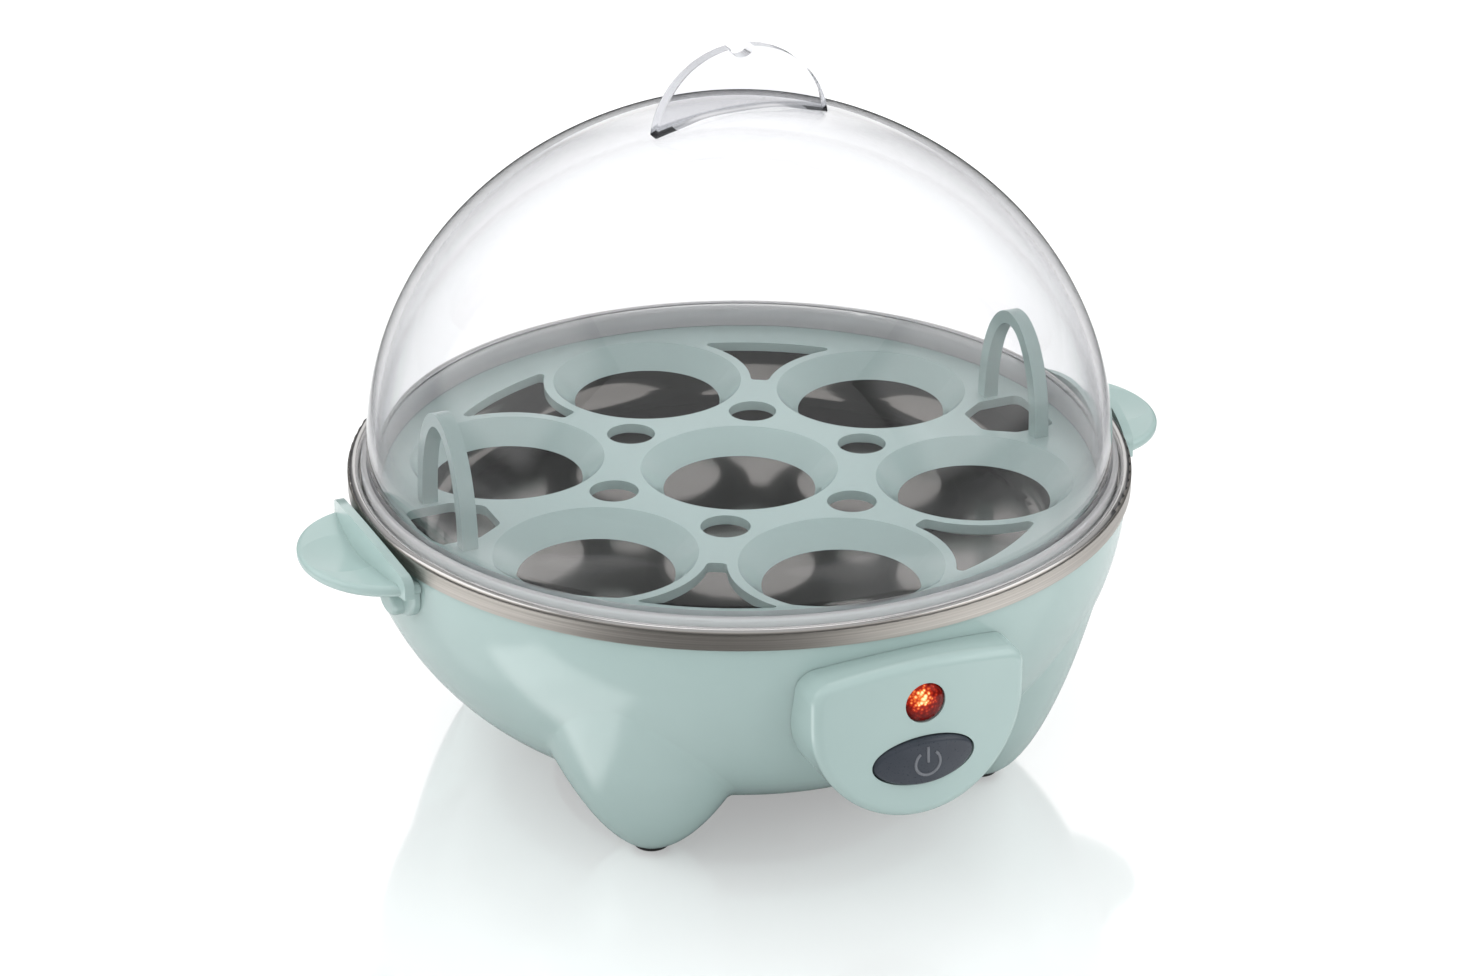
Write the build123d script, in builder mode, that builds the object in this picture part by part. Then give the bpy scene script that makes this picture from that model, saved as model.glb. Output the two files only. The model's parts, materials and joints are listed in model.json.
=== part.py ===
from build123d import *
import os
from math import atan2, cos, radians, sin, sqrt, tan

# Seven-egg cooker. Millimetres, +Z up, origin on the table under the dome's centre.
# The control panel faces -Y and the two side grips lie on the X axis.
# The seats set the rack, the rack sets the lid, and the lid sets the steel rim and the bowl.

os.makedirs("parts", exist_ok=True)

# ---------------------------------------------------------------- driving dimensions
slip = 0.15                      # gap between mouldings that sit against each other

# Egg rack
seat_count = 6                   # round one in the middle
seat_rim_radius = 20.2
seat_spacing_gap = 7.8           # between the rims of neighbouring seats
seat_flare = 4.6                 # the rim is this much wider than the hole
seat_depth = 4.8
seat_wall = 1.5
rack_border = 5.8                # from the outer seats to the rack's edge
rack_thickness = 2.0
rack_edge_round = 0.8
drain_hole_radius = 5.0
vent_border = 10.2               # from the rack's edge to the three-sided openings
vent_margin = 2.1                # from a seat's rim to the side of an opening
vent_apex_offset = 2.3           # from the narrowest place between two seats to an opening
vent_corner_round = 1.0
loop_border = 10.7               # from the rack's edge to the loop's middle plane
loop_half_span = 13.0
loop_height = 23.6
loop_bar = 2.7                   # height of the bar at the crown
loop_leg = 3.0                   # width of each leg at its foot
loop_thickness = 3.2
loop_window_margin = 1.4         # from a leg to the opening under the loop
loop_window_narrowing = 4.1      # on each side at the inner end
loop_window_outer_reach = 6.0    # from the loop's middle plane outwards
loop_window_straight = 3.5       # and inwards before it narrows
loop_window_inner_reach = 9.5
loop_window_round = 2.2

# Clear lid
rack_clearance = 0.4             # between the rack and the lid's flange
lid_flange_width = 2.7
lid_flange_thickness = 2.0
lid_clearance = 0.3              # between the lid and the steel rim
lid_height = 80.0                # from the ledge to the crown
lid_equator_drop = 4.9           # the dome's widest level lies this far under the ledge
lid_wall = 2.0
dome_top_power = 2.5
dome_side_power = 1.76
dome_sections = 9
grip_half_width = 18.8
grip_height = 16.4               # above the grip's two ends
grip_thickness = 3.0
grip_notch_width = 5.0
grip_notch_depth = 2.2
grip_root = 1.5                  # how far the blank reaches below its ends before it is fitted
grip_bevel = 0.3

# Steel water plate with its rolled rim
rim_top = 63.0
rim_depth = 5.5                  # from the rim down to the ledge that carries the rack and lid
band_height = 4.3
bead_width = 2.4                 # across the roll, from the band to the inner wall
steel_thickness = 0.6
ledge_width = 5.2
ledge_round = 0.8
plate_wall_run = 8.4             # how far the sloping wall comes in below the ledge
plate_depth = 11.5
plate_floor_round = 6.0

# Moulded bowl
housing_wall = 2.2
lip_clearance = 0.2              # round the lip that stands in the rolled rim
band_gap = 0.2                   # between the band and the shoulder
bowl_bulge_height = 1.5          # the bowl would be widest this far above its shoulder
bowl_taper = 27.7                # the floor's edge is this much nearer the axis than the shoulder
bowl_floor_height = 11.5
bowl_floor_round = 4.0
bowl_crease_round = 2.5

# Four foot lobes and their pads
foot_angle = 43.5                # from the front and from the back
foot_radial_growth = 4.0         # radial half width at a height of 1
foot_radial_power = 0.465
foot_tangential_growth = 4.05    # tangential half width at a height of 1
foot_tangential_power = 0.53
foot_tip_height = 1.2
foot_top_height = 45.0
foot_top_cover = 0.2             # the bowl covers the lobe's top by this much
foot_pad_margin = 0.75           # from the pad's edge to the lobe's
foot_pad_round = 0.4
foot_stem_radius = 1.8
foot_pad_sink = 1.6              # how far the pad's stem reaches into the lobe

# Side grips
leaf_inset = 2.3                 # the leaf's widest chord lies this far inside the band's outside
leaf_half_chord = 19.2
leaf_reach = 16.9
leaf_root = 1.2                  # the leaf goes on this far inside its widest chord
leaf_drop = 5.6                  # from the rim down to the leaf's top
leaf_thickness = 2.4
leaf_edge_round = 1.0
leaf_dish_radius = 50.0
leaf_dish_depth = 0.7
shield_gap = 1.3                 # between the band and the shield
shield_thickness = 1.9
shield_half_width = 20.4
shield_rise = 0.4                # above the rim at the middle
shield_fall = 4.2                # from the middle to the shoulders
shield_corner_round = 2.6
grip_foot_radius = 7.4           # of each of the two feet under the leaf
grip_foot_drop = 2.4             # from the leaf's top to the centre of a foot's round end
grip_foot_thickness = 1.5
grip_foot_round = 0.8
grip_boss_radius = 3.2           # round the screw, on the foot
grip_boss_thickness = 3.6
grip_boss_round = 1.0
side_screw_offset = 11.2
side_screw_drop = 4.0            # below the centre of the foot's round end
side_screw_length = 8.0
side_screw_seat_depth = 7.2      # from the bowl's shoulder radius in to the screws' seats
wall_boss_radius = 3.4

# Control panel
panel_half_width = 22.4
panel_drop = 7.4                 # from the rim down to the top of the panel
panel_arch = 2.8                 # rise of the top edge
panel_straight = 8.4             # upright part of each side
panel_stand = 4.0                # the face's edge stands this far outside the band
panel_crown = 2.0
panel_wall = 2.0
panel_edge_round = 2.2
panel_corner_round = 4.5
panel_screw_margin = 4.8         # from the panel's side to a screw's axis
panel_screw_drop = 3.8           # below the lamp
panel_screw_seat_depth = 9.2
panel_boss_radius = 2.6
lamp_drop = 8.8                  # from the top of the panel to the lamp's axis
lamp_radius = 4.2
lamp_gap = 0.7                   # between the lens's flange and the button's lip
lens_proud = 0.9
lens_flange = 1.2
lens_dome_round = 2.2
lens_sleeve_length = 5.0
button_half_width = 10.6
button_half_height = 4.9
button_proud = 1.6
button_dome_radius = 30.0
button_travel = 2.0
button_clearance = 0.3
button_round = 1.0
button_lip = 1.2

# Switch and lamp behind the panel
switch_width = 16.0
switch_depth = 12.0
switch_round = 1.0
switch_setback = 9.5             # from the face's edge to the front of the switch
rail_thickness = 1.3
rail_width = 4.0
plunger_radius = 2.6
plunger_reach = 4.5              # how far the plunger reaches into the switch
plunger_clearance = 0.05
neon_radius = 2.8
neon_length = 9.0
neon_lead_length = 4.0
window_margin = 1.0              # round the switch, in the bowl's wall
window_corner = 2.0
window_reach = 21.2              # depth of the cut through the bowl's wall

# Heater under the plate
spreader_margin = 18.0           # from the plate's floor corner to the spreader's edge
spreader_thickness = 2.5
element_margin = 9.0             # from the spreader's edge to the element's centreline
element_sheath_radius = 3.2
element_gap_angle = 50.0
element_leg = 9.0
terminal_width = 6.3
terminal_thickness = 0.8
terminal_length = 8.0
thermostat_radius = 8.0
thermostat_height = 6.5
thermostat_round = 1.0
clip_width = 8.0
clip_thickness = 1.0
clip_clearance = 1.5             # between the clip's upright parts and the thermostat
clip_tab_length = 7.0
clip_terminal_gap = 1.1
fuse_radius = 2.2
fuse_length = 16.0
fuse_offset = 20.0
stud_margin = 9.0                # from the plate's floor corner to a stud's axis
stud_radius = 2.0
stud_end = 3.4                   # the stud shows this much below its nut
nut_across = 7.0
nut_height = 3.2
lug_drop = 8.4                   # from the plate down to the lugs' undersides
lug_thickness = 3.0
lug_width = 12.0
gasket_inset = 1.2               # from the plate's inner wall to the gasket
gasket_width = 2.8
gasket_height = 2.2
shelf_thickness = 1.6

# Bottom cover
cover_margin = 12.5              # from the bowl's floor edge to the cover
cover_thickness = 1.6
cover_ledge_width = 2.4
cover_rib_margin = 13.0
cover_rib_height = 3.0
cover_screw_count = 4
cover_screw_margin = 5.5
cover_boss_radius = 4.2
cover_boss_height = 9.0
cover_slot_count = 10
cover_slot_length = 9.0
cover_slot_width = 1.8
cover_slot_margin = 7.0          # from the rib to the middle of the slots

# Self-tapping screws
screw_radius = 1.4
screw_head_radius = 2.7
screw_head_height = 1.6
screw_length = 8.0

# Lead inlet at the back
inlet_height = 40.0
inlet_stand = 4.0                # the boss's face stands this far outside the band
inlet_boss_wall = 4.0
inlet_grip_length = 13.0
bushing_bore_radius = 3.4
bushing_wall = 1.6
bushing_flange_width = 2.0
bushing_flange = 2.5
bushing_round = 0.7

# ---------------------------------------------------------------- sizes that follow from them
# rack, lid and rim, from the seats outwards
seat_hole_radius = seat_rim_radius - seat_flare
seat_circle_radius = 2 * seat_rim_radius + seat_spacing_gap
rack_radius = seat_circle_radius + seat_rim_radius + rack_border
lid_flange_inner_radius = rack_radius + rack_clearance
lid_radius = lid_flange_inner_radius + lid_flange_width
inner_wall_radius = lid_radius + lid_clearance
rim_radius = inner_wall_radius + bead_width
band_inner_radius = rim_radius - steel_thickness
ledge_inner_radius = inner_wall_radius - ledge_width
plate_floor_radius = ledge_inner_radius - plate_wall_run
drain_circle_radius = seat_circle_radius / sqrt(3)
vent_outer_radius = rack_radius - vent_border
vent_side_radius = seat_rim_radius + vent_margin
vent_apex_radius = seat_circle_radius * cos(radians(180 / seat_count)) + vent_apex_offset
loop_offset = rack_radius - loop_border
loop_window_half_width = loop_half_span - loop_leg - loop_window_margin

# levels, from the rim downwards
bead_radius = bead_width / 2
bead_centre_height = rim_top - bead_radius
ledge_height = rim_top - rim_depth
ledge_underside = ledge_height - steel_thickness
rack_top = ledge_height + rack_thickness
dome_top = ledge_height + lid_height
plate_floor_height = ledge_height - plate_depth
plate_underside = plate_floor_height - steel_thickness
shelf_top = ledge_underside - gasket_height
spreader_underside = plate_underside - spreader_thickness
element_height = spreader_underside - element_sheath_radius
element_leg_end = element_height - element_leg
thermostat_tab_top = spreader_underside - thermostat_height
lug_height = plate_underside - lug_drop
stud_length = lug_drop + nut_height + stud_end
cover_seat_height = bowl_floor_height + cover_thickness

# bowl
bowl_top_radius = band_inner_radius - lip_clearance
bowl_floor_radius = bowl_top_radius - bowl_taper
bowl_shoulder_height = rim_top - band_height - band_gap
bowl_arc_height = bowl_shoulder_height + bowl_bulge_height
bowl_arc_drop = bowl_arc_height - bowl_floor_height
bowl_arc_centre = (
    bowl_top_radius**2 - bowl_floor_radius**2 + bowl_bulge_height**2 - bowl_arc_drop**2
) / (2 * bowl_taper)
bowl_arc_radius = sqrt((bowl_top_radius - bowl_arc_centre) ** 2 + bowl_bulge_height**2)
lip_inner_radius = inner_wall_radius + steel_thickness + lip_clearance
lip_top = bead_centre_height - lip_clearance
lip_height = lip_top - bowl_shoulder_height + 2 * slip
gasket_outer_radius = inner_wall_radius - gasket_inset
gasket_inner_radius = gasket_outer_radius - gasket_width

# heater and bottom cover
spreader_radius = plate_floor_radius - spreader_margin
element_ring_radius = spreader_radius - element_margin
stud_circle_radius = plate_floor_radius - stud_margin
clip_arch_half_span = thermostat_radius + clip_clearance + clip_thickness / 2
clip_half_span = clip_arch_half_span + clip_tab_length
thermostat_tab_offset = clip_width / 2 + clip_terminal_gap + terminal_thickness / 2
cover_radius = bowl_floor_radius - cover_margin
cover_rib_radius = cover_radius - cover_rib_margin
cover_screw_circle = cover_radius - cover_screw_margin
cover_slot_circle = cover_rib_radius - cover_slot_margin
screw_hole_radius = screw_radius + slip

# side grips
leaf_centre_radius = rim_radius - leaf_inset
leaf_top = rim_top - leaf_drop
leaf_dish_centre = leaf_centre_radius + leaf_reach / 2
shield_inner_radius = rim_radius + shield_gap
shield_top = rim_top + shield_rise
shield_shoulder = shield_top - shield_fall
grip_foot_height = leaf_top - grip_foot_drop
leaf_middle = leaf_top - leaf_thickness / 2
side_screw_height = grip_foot_height - side_screw_drop
side_screw_seat = bowl_top_radius - side_screw_seat_depth
side_screw_spots = [(-side_screw_offset, side_screw_height), (side_screw_offset, side_screw_height)]

# control panel, lamp, button and switch
panel_top = rim_top - panel_drop
panel_side_top = panel_top - panel_arch
panel_centre_height = panel_side_top - panel_straight
panel_edge_depth = rim_radius + panel_stand
panel_front = panel_edge_depth + panel_crown
panel_back_face = panel_edge_depth - panel_wall
crown_radius = (panel_half_width**2 + panel_crown**2) / (2 * panel_crown)
lamp_height = panel_top - lamp_drop
button_height = lamp_height - lamp_radius - lens_flange - lamp_gap - button_lip - button_half_height
button_back = panel_back_face - slip - button_lip
switch_height = 2 * (button_half_height + button_lip + slip)
switch_face = panel_edge_depth - switch_setback
rail_end = switch_face - switch_depth
rail_offset = (switch_width - rail_width) / 2
neon_front = panel_back_face - lens_flange - slip
lens_sleeve_end = panel_back_face - lens_flange - lens_sleeve_length
panel_screw_offset = panel_half_width - panel_screw_margin
panel_screw_height = lamp_height - panel_screw_drop
panel_screw_seat = bowl_top_radius - panel_screw_seat_depth
panel_screw_spots = [(-panel_screw_offset, panel_screw_height), (panel_screw_offset, panel_screw_height)]
window_half_width = switch_width / 2 + window_margin
window_bottom = button_height - switch_height / 2 - slip - rail_thickness - window_margin
window_top = lamp_height + lamp_radius + window_margin
window_inner_depth = bowl_top_radius - window_reach

# lead inlet
inlet_boss_face = rim_radius + inlet_stand
inlet_hole_radius = bushing_bore_radius + bushing_wall
inlet_boss_radius = inlet_hole_radius + inlet_boss_wall
bushing_flange_radius = inlet_hole_radius + bushing_flange_width


def save(part, label):
    """Name a finished piece and write its STEP file."""
    part.label = label
    export_step(part, f"parts/{label}.step")


def around(radius, angle):
    """Point on a circle about the axis, its angle counted from the front (-Y) towards +X."""
    return (radius * sin(radians(angle)), -radius * cos(radians(angle)))


def side_plane(side, distance):
    """Upright plane across the X axis that faces away from the centre; its own axes are Y and Z."""
    return Plane(origin=(side * distance, 0, 0), x_dir=(0, side, 0), z_dir=(side, 0, 0))


def bowl_radius_at(height, inset=0.0):
    """Radius of the bowl's side at a height, measured on an arc that lies inset inside it."""
    return bowl_arc_centre + sqrt((bowl_arc_radius - inset) ** 2 - (bowl_arc_height - height) ** 2)


def dome_radius_at(height, inset=0.0):
    """Radius of the lid at a height above the ledge, on a surface that lies inset inside it."""
    rise = (height + lid_equator_drop) / (lid_height - inset + lid_equator_drop)
    return (lid_radius - inset) * (1 - rise**dome_top_power) ** (1 / dome_side_power)


def foot_half_widths(height, inset=0.0):
    """Radial and tangential half widths of a foot lobe at a height."""
    radial = foot_radial_growth * height**foot_radial_power
    tangential = foot_tangential_growth * height**foot_tangential_power
    return (radial - inset, tangential - inset)


foot_circle_radius = bowl_radius_at(foot_top_height) - foot_half_widths(foot_top_height)[0] - foot_top_cover
foot_pad_radius = foot_half_widths(foot_tip_height)[0] - foot_pad_margin
foot_angles = [foot_angle, -foot_angle, 180 - foot_angle, foot_angle - 180]
foot_names = ["front_right", "front_left", "rear_right", "rear_left"]
foot_hollow_bottom = foot_tip_height + foot_pad_sink + 2 * housing_wall
lug_end = foot_circle_radius + foot_half_widths(lug_height, housing_wall / 2)[0]


def bowl_solid(inset, floor, top):
    """Solid of revolution that fills the bowl between two heights."""
    waist = (floor + top) / 2
    with BuildPart() as solid:
        with BuildSketch(Plane.XZ) as profile:
            with BuildLine():
                edge = (bowl_radius_at(floor, inset), floor)
                brim = (bowl_radius_at(top, inset), top)
                ThreePointArc(edge, (bowl_radius_at(waist, inset), waist), brim)
                Polyline(brim, (0, top), (0, floor), edge)
            make_face()
            fillet(profile.vertices().group_by(Axis.Y)[0].sort_by(Axis.X)[-1], bowl_floor_round - inset / 2)
        revolve(axis=Axis.Z)
    return solid.part


def lobe_solid(angle, inset, bottom, top):
    """One foot lobe, lofted through ellipses that widen with height."""
    with BuildPart() as lobe:
        for step in (0.0, 0.06, 0.18, 0.38, 0.66, 1.0):
            height = bottom + (top - bottom) * step
            radial, tangential = foot_half_widths(height - inset, inset * 0.6)
            with BuildSketch(Plane.XY.offset(height)):
                with Locations(around(foot_circle_radius, angle)):
                    Ellipse(radial, tangential, rotation=angle - 90)
        loft()
    return lobe.part


def ring_blank(inner, outer, bottom, height):
    """Plain ring about the axis."""
    with BuildPart() as ring:
        with BuildSketch(Plane.XY.offset(bottom)):
            Circle(outer)
            Circle(inner, mode=Mode.SUBTRACT)
        extrude(amount=height)
    return ring.part


def bowl_boss(plane, spot, radius):
    """Round boss that reaches from a plane inside the bowl out to the bowl's own surface."""
    with BuildPart() as boss:
        with BuildSketch(plane):
            with Locations(spot):
                Circle(radius)
        extrude(amount=bowl_top_radius)
        add(bowl_outside, mode=Mode.INTERSECT)
    return boss.part


def dome_solid(inset):
    """Solid under the lid's surface, or under one that lies inset inside it."""
    with BuildPart() as solid:
        with BuildSketch(Plane.XZ):
            with BuildLine():
                turns = [radians(90 * step / dome_sections) for step in range(dome_sections)]
                rises = [(lid_height - inset) * sin(turn) for turn in turns]
                side = [(dome_radius_at(rise, inset), ledge_height + rise) for rise in rises]
                crown = (0, dome_top - inset)
                Spline(side + [crown], tangents=[(0, 1), (-1, 0)])
                Polyline(crown, (0, ledge_height), side[0])
            make_face()
        revolve(axis=Axis.Z)
    return solid.part


# ---------------------------------------------------------------- base housing
bowl_outside = bowl_solid(0.0, bowl_floor_height, bowl_shoulder_height)
bowl_skin = bowl_solid(-slip, bowl_floor_height, lip_top)

with BuildPart() as base_housing:
    add(bowl_outside)
    for angle in foot_angles:
        add(lobe_solid(angle, 0.0, foot_tip_height, foot_top_height))
    creases = base_housing.edges().filter_by(GeomType.BSPLINE)
    fillet([line for line in creases if line.length > foot_top_height], bowl_crease_round)
    # flat boss round the lead inlet
    with BuildSketch(Plane.XZ.offset(-inlet_boss_face)):
        with Locations((0, inlet_height)):
            Circle(inlet_boss_radius)
    extrude(amount=inlet_boss_face - bowl_radius_at(inlet_height) + housing_wall)
    # hollow, with each foot hollowed too
    hollow_floor = bowl_floor_height + housing_wall
    add(bowl_solid(housing_wall, hollow_floor, bowl_shoulder_height), mode=Mode.SUBTRACT)
    for angle in foot_angles:
        hollow_top = foot_top_height - housing_wall
        add(lobe_solid(angle, housing_wall, foot_hollow_bottom, hollow_top), mode=Mode.SUBTRACT)
    # room for the plate's rim, the lip inside the roll, and the shelf under the plate's gasket
    with BuildSketch(Plane.XY.offset(ledge_underside - slip)):
        Circle(lip_inner_radius)
    extrude(amount=rim_top - ledge_underside, mode=Mode.SUBTRACT)
    add(ring_blank(lip_inner_radius, bowl_top_radius, bowl_shoulder_height - 2 * slip, lip_height))
    shelf_outer_radius = bowl_radius_at(shelf_top, housing_wall / 2)
    add(ring_blank(gasket_inner_radius, shelf_outer_radius, shelf_top - shelf_thickness, shelf_thickness))
    # lugs that carry the plate's studs
    for angle in foot_angles:
        with BuildSketch(Plane.XY.offset(lug_height).rotated((0, 0, angle - 90))):
            with Locations(((stud_circle_radius + lug_end) / 2, 0)):
                Rectangle(lug_end - stud_circle_radius, lug_width)
            with Locations((stud_circle_radius, 0)):
                Circle(lug_width / 2)
                Circle(stud_radius + slip, mode=Mode.SUBTRACT)
        extrude(amount=lug_thickness)
    # opening for the bottom cover, its ledge and its screw bosses
    with BuildSketch(Plane.XY.offset(bowl_floor_height)):
        Circle(cover_radius + slip)
    extrude(amount=housing_wall, mode=Mode.SUBTRACT)
    cover_ledge_inner = cover_radius - cover_ledge_width
    add(ring_blank(cover_ledge_inner, cover_radius + housing_wall, cover_seat_height, housing_wall))
    with BuildSketch(Plane.XY.offset(cover_seat_height)):
        with PolarLocations(cover_screw_circle, cover_screw_count):
            Circle(cover_boss_radius)
    extrude(amount=cover_boss_height)
    with BuildSketch(Plane.XY.offset(cover_seat_height)):
        with PolarLocations(cover_screw_circle, cover_screw_count):
            Circle(screw_hole_radius)
    extrude(amount=screw_length, mode=Mode.SUBTRACT)
    # bosses and holes for the panel's and the side grips' screws
    for spot in panel_screw_spots:
        add(bowl_boss(Plane.XZ.offset(panel_screw_seat), spot, wall_boss_radius))
    for side in (-1, 1):
        for spot in side_screw_spots:
            add(bowl_boss(side_plane(side, side_screw_seat), (side * spot[0], spot[1]), wall_boss_radius))
    with BuildSketch(Plane.XZ.offset(panel_screw_seat)):
        with Locations(*panel_screw_spots):
            Circle(screw_hole_radius)
    extrude(amount=screw_length, mode=Mode.SUBTRACT)
    for side in (-1, 1):
        with BuildSketch(side_plane(side, side_screw_seat)):
            with Locations(*side_screw_spots):
                Circle(screw_hole_radius)
        extrude(amount=screw_length, mode=Mode.SUBTRACT)
    # window behind the control panel and the hole of the lead inlet
    with BuildSketch(Plane.XZ.offset(window_inner_depth)):
        with Locations((0, (window_bottom + window_top) / 2)):
            RectangleRounded(2 * window_half_width, window_top - window_bottom, window_corner)
    extrude(amount=rim_radius - window_inner_depth, mode=Mode.SUBTRACT)
    with BuildSketch(Plane.XZ.offset(-inlet_boss_face)):
        with Locations((0, inlet_height)):
            Circle(inlet_hole_radius)
    extrude(amount=inlet_boss_face - window_inner_depth, mode=Mode.SUBTRACT)
    # recesses for the foot pads' stems
    with BuildSketch(Plane.XY.offset(foot_tip_height)):
        with Locations(*[around(foot_circle_radius, angle) for angle in foot_angles]):
            Circle(foot_stem_radius + slip)
    extrude(amount=foot_pad_sink, mode=Mode.SUBTRACT)
save(base_housing.part, "base_housing")

# ---------------------------------------------------------------- foot pads
for name, angle in zip(foot_names, foot_angles):
    with BuildPart() as foot_pad:
        with BuildSketch():
            with Locations(around(foot_circle_radius, angle)):
                Circle(foot_pad_radius)
        extrude(amount=foot_tip_height)
        fillet(foot_pad.edges().group_by(Axis.Z)[0], foot_pad_round)
        with BuildSketch(Plane.XY.offset(foot_tip_height)):
            with Locations(around(foot_circle_radius, angle)):
                Circle(foot_stem_radius)
        extrude(amount=foot_pad_sink)
    save(foot_pad.part, f"foot_pad_{name}")

# ---------------------------------------------------------------- bottom cover and screws
with BuildPart() as bottom_cover:
    with BuildSketch(Plane.XY.offset(bowl_floor_height)):
        Circle(cover_radius)
        with PolarLocations(cover_slot_circle, cover_slot_count):
            SlotOverall(cover_slot_length, cover_slot_width, mode=Mode.SUBTRACT)
        with PolarLocations(cover_screw_circle, cover_screw_count):
            Circle(screw_hole_radius, mode=Mode.SUBTRACT)
    extrude(amount=cover_thickness)
    add(ring_blank(cover_rib_radius - cover_thickness, cover_rib_radius, cover_seat_height, cover_rib_height))
save(bottom_cover.part, "bottom_cover")

with BuildPart() as cover_screws:
    with BuildSketch(Plane.XY.offset(bowl_floor_height - screw_head_height)):
        with PolarLocations(cover_screw_circle, cover_screw_count):
            Circle(screw_head_radius)
    extrude(amount=screw_head_height)
    with BuildSketch(Plane.XY.offset(bowl_floor_height)):
        with PolarLocations(cover_screw_circle, cover_screw_count):
            Circle(screw_radius)
    extrude(amount=screw_length)
save(cover_screws.part, "cover_screws")

with BuildPart() as side_screws:
    for side in (-1, 1):
        with BuildSketch(side_plane(side, side_screw_seat - screw_head_height)):
            with Locations(*side_screw_spots):
                Circle(screw_head_radius)
        extrude(amount=screw_head_height)
        with BuildSketch(side_plane(side, side_screw_seat)):
            with Locations(*side_screw_spots):
                Circle(screw_radius)
        extrude(amount=side_screw_length)
save(side_screws.part, "side_screws")

with BuildPart() as panel_screws:
    with BuildSketch(Plane.XZ.offset(panel_screw_seat - screw_head_height)):
        with Locations(*panel_screw_spots):
            Circle(screw_head_radius)
    extrude(amount=screw_head_height)
    with BuildSketch(Plane.XZ.offset(panel_screw_seat)):
        with Locations(*panel_screw_spots):
            Circle(screw_radius)
    extrude(amount=screw_length)
save(panel_screws.part, "panel_screws")

# ---------------------------------------------------------------- lead inlet
with BuildPart() as cord_bushing:
    with BuildSketch(Plane.XZ.offset(-inlet_boss_face - bushing_flange)):
        with Locations((0, inlet_height)):
            Circle(bushing_flange_radius)
    extrude(amount=bushing_flange)
    fillet(cord_bushing.edges().group_by(Axis.Y)[-1], bushing_round)
    with BuildSketch(Plane.XZ.offset(-inlet_boss_face)):
        with Locations((0, inlet_height)):
            Circle(inlet_hole_radius - slip)
    extrude(amount=inlet_grip_length)
    with BuildSketch(Plane.XZ.offset(-inlet_boss_face - bushing_flange)):
        with Locations((0, inlet_height)):
            Circle(bushing_bore_radius)
    extrude(amount=bushing_flange + inlet_grip_length, mode=Mode.SUBTRACT)
save(cord_bushing.part, "cord_bushing")

# ---------------------------------------------------------------- water plate
wall_slope = atan2(ledge_height - plate_floor_height, ledge_inner_radius - plate_floor_radius)
corner_shift = steel_thickness * tan(wall_slope / 2)

with BuildPart() as heating_plate:
    with BuildSketch(Plane.XZ) as profile:
        with BuildLine():
            Polyline(
                (band_inner_radius, bead_centre_height),
                (band_inner_radius, rim_top - band_height),
                (rim_radius, rim_top - band_height),
                (rim_radius, bead_centre_height),
            )
            ThreePointArc(
                (rim_radius, bead_centre_height),
                (rim_radius - bead_radius, rim_top),
                (inner_wall_radius, bead_centre_height),
            )
            Polyline(
                (inner_wall_radius, bead_centre_height),
                (inner_wall_radius, ledge_height),
                (ledge_inner_radius, ledge_height),
                (plate_floor_radius, plate_floor_height),
                (0, plate_floor_height),
                (0, plate_underside),
                (plate_floor_radius + corner_shift, plate_underside),
                (ledge_inner_radius + corner_shift, ledge_underside),
                (inner_wall_radius + steel_thickness, ledge_underside),
                (inner_wall_radius + steel_thickness, bead_centre_height),
            )
            ThreePointArc(
                (inner_wall_radius + steel_thickness, bead_centre_height),
                (rim_radius - bead_radius, rim_top - steel_thickness),
                (band_inner_radius, bead_centre_height),
            )
        make_face()
        for radius, height, rounding in (
            (plate_floor_radius, plate_floor_height, plate_floor_round),
            (plate_floor_radius + corner_shift, plate_underside, plate_floor_round + steel_thickness),
            (ledge_inner_radius, ledge_height, ledge_round + steel_thickness),
            (ledge_inner_radius + corner_shift, ledge_underside, ledge_round),
        ):
            fillet(profile.vertices().sort_by_distance((radius, height))[0], rounding)
    revolve(axis=Axis.Z)
save(heating_plate.part, "heating_plate")

with BuildPart() as plate_gasket:
    with BuildSketch(Plane.XY.offset(shelf_top)):
        Circle(gasket_outer_radius)
        Circle(gasket_inner_radius + slip, mode=Mode.SUBTRACT)
    extrude(amount=gasket_height)
save(plate_gasket.part, "plate_gasket")

# ---------------------------------------------------------------- heater under the plate
with BuildPart() as heat_spreader:
    with BuildSketch(Plane.XY.offset(spreader_underside)):
        Circle(spreader_radius)
    extrude(amount=spreader_thickness)
    chamfer(heat_spreader.edges().group_by(Axis.Z)[0], spreader_thickness / 4)
save(heat_spreader.part, "heat_spreader")

element_ends = [around(element_ring_radius, side * element_gap_angle / 2) for side in (-1, 1)]

with BuildPart() as heating_element:
    ring_start = Plane(
        origin=(0, 0, 0),
        x_dir=(*around(1, element_gap_angle / 2), 0),
        z_dir=(*around(1, element_gap_angle / 2 - 90), 0),
    )
    with BuildSketch(ring_start):
        with Locations((element_ring_radius, element_height)):
            Circle(element_sheath_radius)
    revolve(axis=Axis.Z, revolution_arc=360 - element_gap_angle)
    for spot in element_ends:
        with BuildSketch(Plane.XY.offset(element_leg_end)):
            with Locations(spot):
                Circle(element_sheath_radius)
        extrude(amount=element_leg)
        with Locations((*spot, element_height)):
            Sphere(element_sheath_radius)
save(heating_element.part, "heating_element")

with BuildPart() as element_terminals:
    for spot in element_ends:
        with BuildSketch(Plane.XY.offset(element_leg_end - terminal_length)):
            with Locations(spot):
                Rectangle(terminal_thickness, terminal_width)
        extrude(amount=terminal_length)
save(element_terminals.part, "element_terminals")

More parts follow.
